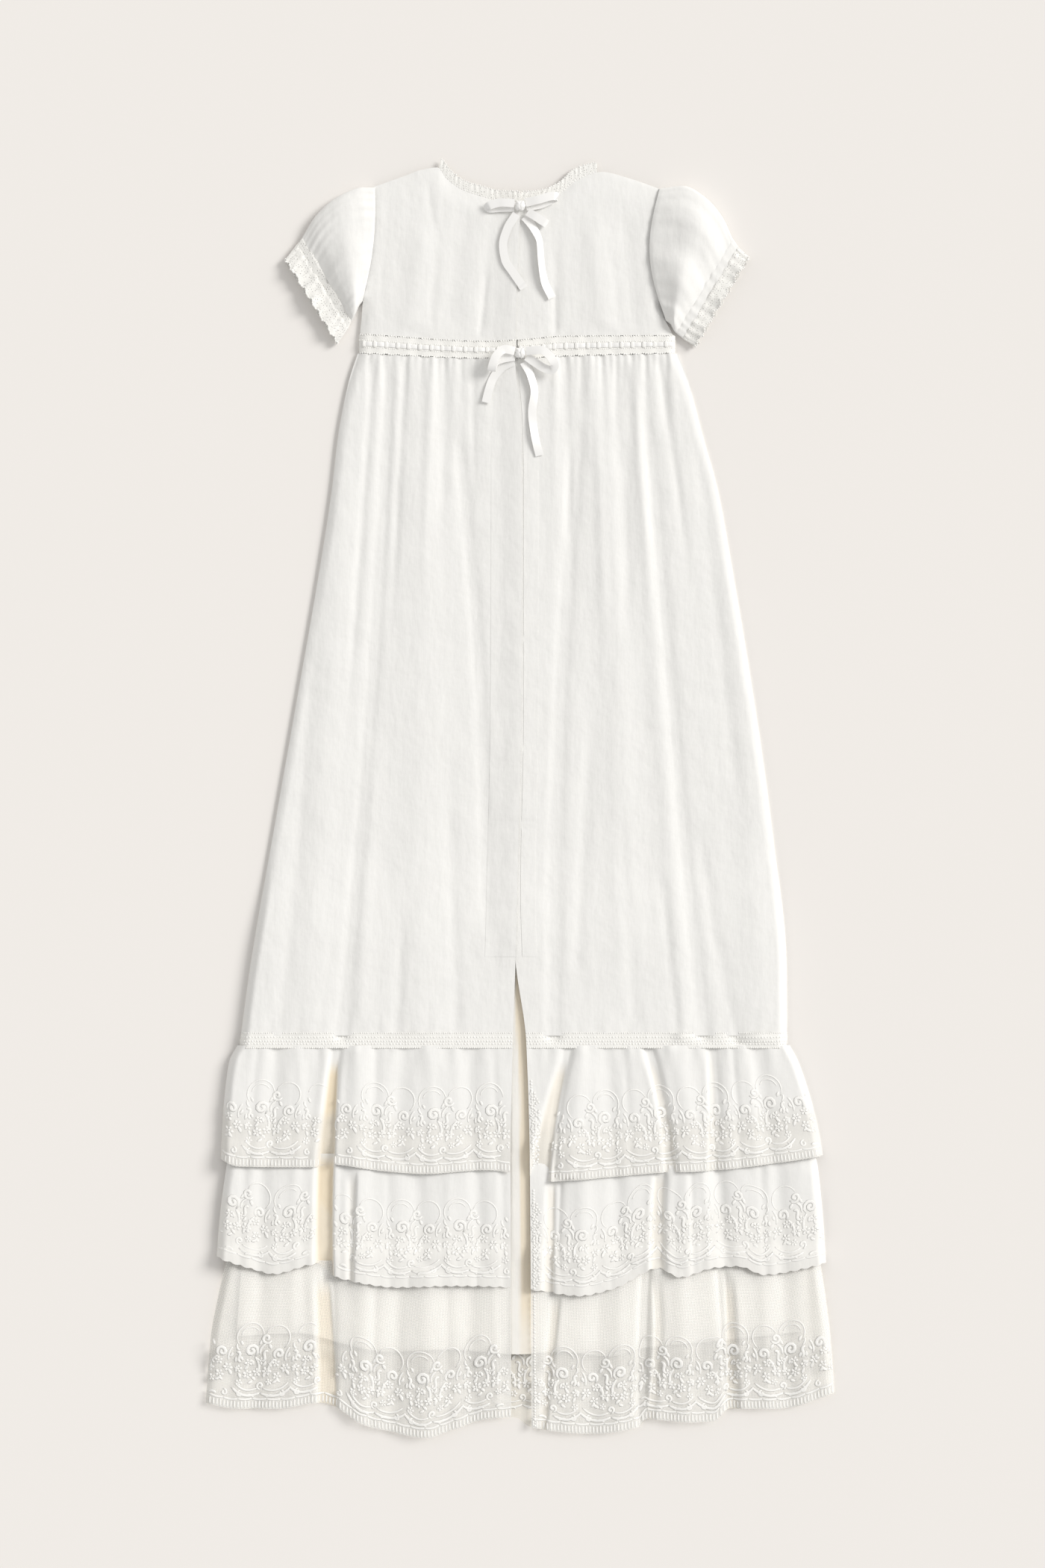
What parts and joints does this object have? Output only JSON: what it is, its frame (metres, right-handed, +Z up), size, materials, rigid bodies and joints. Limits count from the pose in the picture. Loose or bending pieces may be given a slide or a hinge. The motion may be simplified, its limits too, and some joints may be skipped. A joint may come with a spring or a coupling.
{
  "type": "christening gown",
  "caption": "Long white christening gown laid flat on its front, with puffed sleeves, ribbon ties at neck and waist and tiered flounces at the hem.",
  "frame": {"origin": "centre of the gown's outline on the surface that it lies on", "axes": "+X to the right seen from above with the neck at the top, +Y from hem to neck, +Z up, away from the surface"},
  "size_m": [0.4898, 0.9956, 0.022],
  "materials": {
    "cotton": "fine matt cotton voile, warm white",
    "lace": "cotton bobbin lace, warm white",
    "net": "sheer embroidered cotton net, warm white",
    "satin": "6 mm satin ribbon with a soft sheen"
  },
  "bodies": {
    "root": {"bodice_front": "cotton", "bodice_left": "cotton", "bodice_right": "cotton", "lace_band_front": "lace", "lace_band_left": "lace", "lace_band_right": "lace", "neck_bow_knot": "satin", "neck_bow_loop_left": "satin", "neck_bow_loop_right": "satin", "neck_bow_loop_short": "satin", "neck_lace_left": "lace", "neck_lace_right": "lace", "neck_tail_left": "satin", "neck_tail_right": "satin", "placket_left": "cotton", "placket_right": "cotton", "skirt_front": "cotton", "skirt_left": "cotton", "skirt_right": "cotton", "sleeve_left": "cotton", "sleeve_left_frill": "lace", "sleeve_left_lace": "lace", "sleeve_right": "cotton", "sleeve_right_casing": "cotton", "sleeve_right_frill": "lace", "tier_1_front": "cotton", "tier_1_left": "cotton", "tier_1_right": "cotton", "tier_2_front": "cotton", "tier_2_left": "cotton", "tier_2_right": "cotton", "tier_3_front": "net", "tier_3_left": "net", "tier_3_right": "net", "underskirt_front": "cotton", "underskirt_left": "cotton", "underskirt_right": "cotton", "waist_bow_knot": "satin", "waist_bow_loop_left": "satin", "waist_bow_loop_right": "satin", "waist_lace_front": "lace", "waist_lace_left": "lace", "waist_lace_right": "lace", "waist_ribbon_left": "satin", "waist_ribbon_right": "satin", "waist_tail_left": "satin", "waist_tail_right": "satin"}
  },
  "joints": []
}
